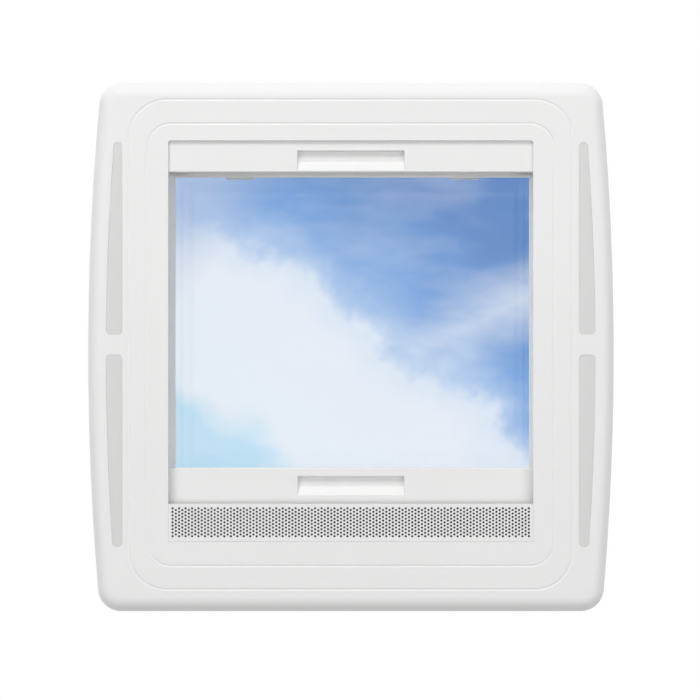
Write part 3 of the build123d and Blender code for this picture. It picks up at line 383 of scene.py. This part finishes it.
def makeFilterMesh():
    facts = filterMesh
    material, tree, surface = startMaterial("filterMesh", facts["roughness"])
    axes = splitAxes(tree, objectPlace(tree))
    threads = [addRidges(tree, axes[axis], facts["threads"]) for axis in ("X", "Y")]
    height = doMath(tree, "MAXIMUM", *threads)
    # Painted shade and highlight: the colour is darker between the threads and lighter on their crowns
    colour = scaled(tree, facts["colour"], remap(tree, height, *facts["paintedShade"]))
    link(tree, surface, Base_Color=colour, Normal=addBump(tree, height, *facts["relief"]))
    return material


# Braided cords of the blinds
cordYarn = {
    "colour": (0.74, 0.74, 0.71), "roughness": 0.75, "pitch": 1100.0, "twist": 2800.0,
    "tones": (0.6, 1.05), "relief": (0.8, 0.0002),
}


def makeCordYarn():
    facts = cordYarn
    material, tree, surface = startMaterial("cordYarn", facts["roughness"])
    axes = splitAxes(tree, objectPlace(tree))
    along = doMath(tree, "MULTIPLY", axes["Y"], facts["pitch"])
    around = doMath(tree, "MULTIPLY", axes["Z"], facts["twist"])
    strand = addRidges(tree, doMath(tree, "ADD", along, around))
    # Painted shade: the cord is darker in the grooves between its strands and lighter on their crowns
    colour = scaled(tree, facts["colour"], remap(tree, strand, 0.0, 1.0, *facts["tones"]))
    link(tree, surface, Base_Color=colour, Normal=addBump(tree, strand, *facts["relief"]))
    return material


# Clear acrylic of the dome and the pane
clearAcrylic = {
    "colour": (0.965, 0.98, 0.985), "roughness": 0.012, "ior": 1.49,
    "lightThrough": (0.985, 0.99, 0.992, 1),
    "dusty": (0.80, 0.78, 0.74), "dust": {"amount": 0.05, "patch": 14.0}, "dustRoughness": 0.25,
    "rippleScale": 7.0, "rippleDetail": 1.0, "relief": (0.2, 0.0006),
}


def makeClearAcrylic():
    facts = clearAcrylic
    plain = {"IOR": facts["ior"], "Transmission_Weight": 1.0}
    material, tree, surface = startMaterial("clearAcrylic", facts["roughness"], **plain)
    dust = useGroup(tree, roadDust, **facts["dust"])["mask"]
    colour = mixColour(tree, dust, facts["colour"], facts["dusty"])
    gloss = doMath(tree, "ADD", facts["roughness"], doMath(tree, "MULTIPLY", dust, facts["dustRoughness"]))
    ripple = addNoise(tree, objectPlace(tree), facts["rippleScale"], facts["rippleDetail"])
    link(tree, surface, Base_Color=colour, Roughness=gloss, Normal=addBump(tree, ripple, *facts["relief"]))
    # Light passes through the clear sheet to what lies below it
    clear = addNode(tree, "BsdfTransparent", {"Color": facts["lightThrough"]})
    isShadow = addNode(tree, "LightPath").outputs["Is Shadow Ray"]
    endMaterial(tree, mixShader(tree, isShadow, surface, clear))
    return material


finishes = {
    "white_frame": makeMoulded("whiteFrame", whiteFrame),
    "outer_white": makeMoulded("outerWhite", outerWhite),
    "seal_tape": makeMoulded("sealTape", sealTape),
    "rubber_seal": makeMoulded("rubberSeal", rubberSeal),
    "steel": makePlatedSteel(),
    "white_coated": makeMoulded("whiteCoat", whiteCoat),
    "black_plastic": makeMoulded("blackPlastic", blackPlastic),
    "grey_plastic": makeMoulded("greyPlastic", greyPlastic),
    "filter_mesh": makeFilterMesh(),
    "cord_yarn": makeCordYarn(),
    "lens_frosted": makeMoulded("frostedLens", frostedLens),
    "light_board": makeLightBoard(),
    "lead_cover": makeMoulded("leadCover", leadCover),
    "clear_acrylic": makeClearAcrylic(),
}
for subpart in frame["record"]["subparts"]:
    finish = finishes.get(subpart["material_slot"])
    if finish:
        mesh = nodes[subpart["node"]].data
        mesh.materials.clear()
        mesh.materials.append(finish)
print("finishes on", len(nodes), "nodes")


def addObject(name, data):
    holder = bpy.data.objects.new(name, data)
    bpy.context.scene.collection.objects.link(holder)
    return holder


# Blackout blind: cloth woven towards the room and metal-coated towards the sky
blackoutBlind = {
    "node": "blackout_pleats", "body": "blackout", "strip": "front_end_strip", "slot": "blackout_cloth",
    "folds": 32, "columns": 24, "weave": {"threads": 1500.0, "width": 0.95, "depth": 0.04},
    "colour": (0.74, 0.735, 0.71), "paintedShade": (0.0, 0.08, 0.86, 1.02), "roughness": 0.8,
    "coating": (0.62, 0.63, 0.64), "roughnessOfSides": (0.82, 0.4),
}


def makeBlackoutCloth(facts):
    material, tree, surface = startMaterial("blackoutCloth", facts["roughness"])
    weave = useGroup(tree, wovenThreads, **facts["weave"])
    # Painted shade and light: the cloth is darker between the threads and lighter where they cross
    woven = scaled(tree, facts["colour"], remap(tree, weave["height"], *facts["paintedShade"]))
    outside = addNode(tree, "NewGeometry").outputs["Backfacing"]
    colour = mixColour(tree, outside, woven, facts["coating"])
    gloss = remap(tree, outside, 0.0, 1.0, *facts["roughnessOfSides"])
    link(tree, surface, Base_Color=colour, Roughness=gloss, Normal=weave["normal"])
    return material


# Flyscreen: dark open net
netBlind = {
    "node": "flyscreen_pleats", "body": "flyscreen", "strip": "rear_end_strip", "slot": "insect_net",
    "folds": 32, "columns": 24, "weave": {"threads": 700.0, "width": 0.34, "depth": 0.08},
    "colour": (0.10, 0.10, 0.105), "paintedShade": (0.0, 0.16, 0.7, 1.3), "roughness": 0.7, "threadEdge": 0.05,
}


def makeInsectNet(facts):
    material, tree, surface = startMaterial("insectNet", facts["roughness"])
    weave = useGroup(tree, wovenThreads, **facts["weave"])
    # Painted light and shade: the net is lighter where the threads cross and darker beside them
    colour = scaled(tree, facts["colour"], remap(tree, weave["height"], *facts["paintedShade"]))
    solid = doMath(tree, "GREATER_THAN", weave["cover"], facts["threadEdge"])
    link(tree, surface, Base_Color=colour, Alpha=solid, Normal=weave["normal"])
    return material


def easedPlace(share):
    return 0.5 - math.sin(math.asin(1 - 2 * share) / 3)


# Cloth in sharp folds, packed as at rest within the box of its part
def makeFoldedCloth(facts, material):
    low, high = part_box(facts["node"])
    fixedAtLow = facts["strip"] == "front_end_strip"
    start, end = (low.y, high.y) if fixedAtLow else (high.y, low.y)
    lines, columns = 2 * facts["folds"], facts["columns"]
    verts, faces, weave = [], [], []
    arc = 0.0
    for line in range(lines + 1):
        y = start + (end - start) * easedPlace(line / lines)
        z = low.z if line % 2 else high.z
        if line:
            arc += math.hypot(y - verts[-1][1], z - verts[-1][2])
        for column in range(columns + 1):
            x = low.x + (high.x - low.x) * column / columns
            verts.append((x, y, z))
            weave.append((x, arc))
    stride = columns + 1
    for line in range(lines):
        for first in range(line * stride, line * stride + columns):
            faces.append((first, first + 1, first + 1 + stride, first + stride))
    mesh = bpy.data.meshes.new(facts["slot"])
    mesh.from_pydata(verts, [], faces)
    uv = mesh.uv_layers.new(name="weave")
    for loop in mesh.loops:
        uv.data[loop.index].uv = weave[loop.vertex_index]
    if not fixedAtLow:
        mesh.flip_normals()
    mesh.materials.append(material)
    cloth = addObject(facts["slot"], mesh)
    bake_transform(cloth)
    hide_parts(facts["node"])


makeFoldedCloth(blackoutBlind, makeBlackoutCloth(blackoutBlind))
makeFoldedCloth(netBlind, makeInsectNet(netBlind))
print("blinds folded")

# Floor: pale and one-sided, under the room side; far from the part it goes over into the white backdrop
floorValues = {
    "size": 12.0, "gap": 0.0002, "fade": (0.5, 1.6), "colour": (0.9, 0.9, 0.9), "roughness": 0.9,
    "toneScale": 3.0, "toneDetail": 3.0, "tones": (0.3, 0.7, 0.99, 1.01),
}


def makeFloor():
    facts = floorValues
    mesh = bpy.data.meshes.new("floor")
    half, z = facts["size"] / 2, cadBox[0].z - facts["gap"]
    corners = [(-half, -half, z), (half, -half, z), (half, half, z), (-half, half, z)]
    mesh.from_pydata(corners, [], [(0, 1, 2, 3)])
    floor = addObject("floor", mesh)
    material, tree, surface = startMaterial("floorPaint", facts["roughness"])
    place = objectPlace(tree)
    tone = remap(tree, addNoise(tree, place, facts["toneScale"], facts["toneDetail"]), *facts["tones"])
    link(tree, surface, Base_Color=scaled(tree, facts["colour"], tone))
    # The white of the fade is only seen and lights nothing
    ray = addNode(tree, "LightPath").outputs
    seen = doMath(tree, "MAXIMUM", ray["Is Camera Ray"], ray["Is Transmission Ray"])
    away = addNode(tree, "VectorMath", {0: place}, operation="LENGTH").outputs["Value"]
    share = doMath(tree, "MULTIPLY", remap(tree, away, *facts["fade"], 0.0, 1.0), seen)
    faded = mixShader(tree, share, surface, addNode(tree, "Emission"))
    # Seen from above only, so that the view from below is free; the shadow on it stays
    below = addNode(tree, "NewGeometry").outputs["Backfacing"]
    endMaterial(tree, mixShader(tree, below, faded, addNode(tree, "BsdfTransparent")))
    mesh.materials.append(material)
    floor.visible_shadow = floor.visible_diffuse = floor.visible_glossy = False


# Lamps: three soft ones in the room below and one over the roof, all turned to the part
lamps = {
    "roomKey": {"place": (-0.32, -3.08, -2.53), "size": (2.4, 1.8), "power": 88.0},
    "roomLeft": {"place": (-2.4, 0.2, -3.2), "size": (2.2, 2.2), "power": 36.5},
    "roomRight": {"place": (2.4, 0.2, -3.2), "size": (2.2, 2.2), "power": 38.5},
    "skyKey": {"place": (-2.0, -1.8, 2.9), "size": (2.2, 2.2), "power": 34.0},
}


def makeLamp(name, facts):
    light = bpy.data.lights.new(name, "AREA")
    light.shape = "RECTANGLE"
    light.size, light.size_y = facts["size"]
    light.energy = facts["power"]
    lamp = addObject(name, light)
    lamp.location = facts["place"]
    lamp.rotation_mode = "QUATERNION"
    lamp.rotation_quaternion = (-lamp.location).to_track_quat("-Z", "Y")
    lamp.visible_camera = lamp.visible_glossy = lamp.visible_transmission = False


# Room light: strength below and above the horizon
ambient = {"below": 0.26, "above": 1.12, "horizon": (0.05, 0.45)}

# What shows overhead through the glazing: blue with a soft white haze that runs from corner to corner
daylight = {
    "clearAbove": (0.90, 0.97), "slope": 0.75, "shift": -0.006, "reach": 0.13,
    "stops": ((0.0, (0.081, 0.232, 0.583)), (0.30, (0.163, 0.369, 0.771)), (0.42, (0.391, 0.569, 0.875)),
              (0.49, (0.782, 0.854, 0.979)), (0.60, (0.879, 0.907, 0.989)), (0.90, (0.868, 0.917, 0.989)),
              (0.95, (0.716, 0.864, 0.979)), (1.0, (0.543, 0.791, 0.968))),
    "drift": {"scale": 15.0, "detail": 10.0, "roughness": 0.62}, "driftDepth": 0.11,
    "wisps": {"scale": 30.0, "detail": 8.0, "roughness": 0.6}, "wispTurn": -0.67,
    "wispStretch": (0.35, 1.0, 1.0), "wispSpan": (0.45, 0.75), "wispShare": 0.30,
}

# A second, thinner haze that meets the first from one side, and a veil over its far end
thinHaze = {
    "colour": (0.847, 0.896, 0.989), "slope": 0.5, "shift": -0.018, "width": 0.034, "share": 0.55,
    "start": (-0.03, 0.05), "breaks": (0.3, 0.6, 0.5, 1.2),
}
veil = {
    "colour": (0.434, 0.559, 0.823), "span": (-0.16, -0.225), "share": 0.95,
    "breaks": (0.4, 0.6, 1.0, 0.7),
}


# Haze by distance from its middle line, on a flat sheet overhead
def addHaze(tree, axes, drift):
    across = doMath(tree, "SUBTRACT", axes["Y"], doMath(tree, "MULTIPLY", axes["X"], daylight["slope"]))
    across = doMath(tree, "ADD", across, daylight["shift"])
    sway = doMath(tree, "MULTIPLY", doMath(tree, "SUBTRACT", drift, 0.5), daylight["driftDepth"])
    across = doMath(tree, "ADD", across, sway)
    share = remap(tree, across, -daylight["reach"], daylight["reach"], 0.0, 1.0)
    ramp = addNode(tree, "ValToRGB", {"Fac": share})
    points = ramp.color_ramp.elements
    for _ in daylight["stops"][2:]:
        points.new(0.5)
    for point, (place, colour) in zip(points, daylight["stops"]):
        point.position = place
        point.color = (*colour, 1)
    return ramp.outputs[0]


def addThinHaze(tree, axes, streaks):
    offLine = doMath(tree, "ADD", axes["Y"], doMath(tree, "MULTIPLY", axes["X"], thinHaze["slope"]))
    offLine = doMath(tree, "ABSOLUTE", doMath(tree, "ADD", offLine, thinHaze["shift"]))
    share = remap(tree, offLine, 0.0, thinHaze["width"], thinHaze["share"], 0.0)
    share = doMath(tree, "MULTIPLY", share, remap(tree, axes["X"], *thinHaze["start"], 0.0, 1.0))
    return doMath(tree, "MULTIPLY", share, remap(tree, streaks, *thinHaze["breaks"]))


def addVeil(tree, axes, drift):
    corner = doMath(tree, "ADD", axes["X"], axes["Y"])
    share = remap(tree, corner, *veil["span"], 0.0, veil["share"])
    return doMath(tree, "MULTIPLY", share, remap(tree, drift, *veil["breaks"]))


def addDaylight(tree, way, height):
    flat = scaled(tree, way, doMath(tree, "DIVIDE", 1.0, height))
    axes = splitAxes(tree, flat)
    drift = addNoise(tree, flat, **daylight["drift"])
    turn = {"Vector": flat, "Rotation": (0, 0, daylight["wispTurn"]), "Scale": daylight["wispStretch"]}
    streaks = addNoise(tree, addNode(tree, "Mapping", turn).outputs[0], **daylight["wisps"])
    wisps = remap(tree, streaks, *daylight["wispSpan"], 0.0, 1.0)
    wisps = doMath(tree, "MULTIPLY", wisps, daylight["wispShare"])
    colour = mixColour(tree, wisps, addHaze(tree, axes, drift), thinHaze["colour"])
    colour = mixColour(tree, addThinHaze(tree, axes, streaks), colour, thinHaze["colour"])
    colour = mixColour(tree, addVeil(tree, axes, drift), colour, veil["colour"])
    overhead = remap(tree, height, *daylight["clearAbove"], 0.0, 1.0)
    return mixColour(tree, overhead, (1, 1, 1), colour)


# White backdrop where a ray sees it, daylight through the glazing, soft room light for the rest
def makeWorld():
    world = bpy.data.worlds.new("studio")
    bpy.context.scene.world = world
    world.use_nodes = True
    tree = world.node_tree
    tree.nodes.clear()
    ray = addNode(tree, "LightPath").outputs
    seen = doMath(tree, "MAXIMUM", ray["Is Glossy Ray"], ray["Is Transmission Ray"])
    seen = doMath(tree, "MAXIMUM", ray["Is Camera Ray"], seen)
    seen = doMath(tree, "MULTIPLY", seen, doMath(tree, "LESS_THAN", ray["Diffuse Depth"], 0.5))
    way = addNode(tree, "TexCoord").outputs["Generated"]
    height = splitAxes(tree, way)["Z"]
    colour = mixColour(tree, ray["Is Transmission Ray"], (1, 1, 1), addDaylight(tree, way, height))
    strength = remap(tree, height, *ambient["horizon"], ambient["below"], ambient["above"])
    glow = addNode(tree, "Background", {"Color": (1, 1, 1, 1), "Strength": strength})
    shown = addNode(tree, "Background", {"Color": colour, "Strength": 1.0})
    out = addNode(tree, "OutputWorld")
    tree.links.new(mixShader(tree, seen, glow, shown).outputs[0], out.inputs["Surface"])


makeFloor()
for name, facts in lamps.items():
    makeLamp(name, facts)
makeWorld()

# Camera below the roof, where the photograph was taken: one millimetre a pixel on the face
view = {
    "distance": 1.5, "side": 0.026, "centre": (-0.0007, 0.0045),
    "pixels": 700, "pixelsPerMetre": 1000, "sensor": 36.0,
}


def makeCamera():
    camera = bpy.data.cameras.new("camera")
    width = view["pixels"] / view["pixelsPerMetre"]
    camera.sensor_width = view["sensor"]
    camera.lens = view["sensor"] * view["distance"] / width
    camera.shift_x = (view["centre"][0] - view["side"]) / width
    camera.shift_y = -view["centre"][1] / width
    holder = addObject("camera", camera)
    holder.location = (view["side"], 0, cadBox[0].z - view["distance"])
    holder.rotation_euler = (math.pi, 0, 0)
    bpy.context.scene.camera = holder


makeCamera()
bpy.context.scene.view_settings.view_transform = "Standard"
print("studio ready")
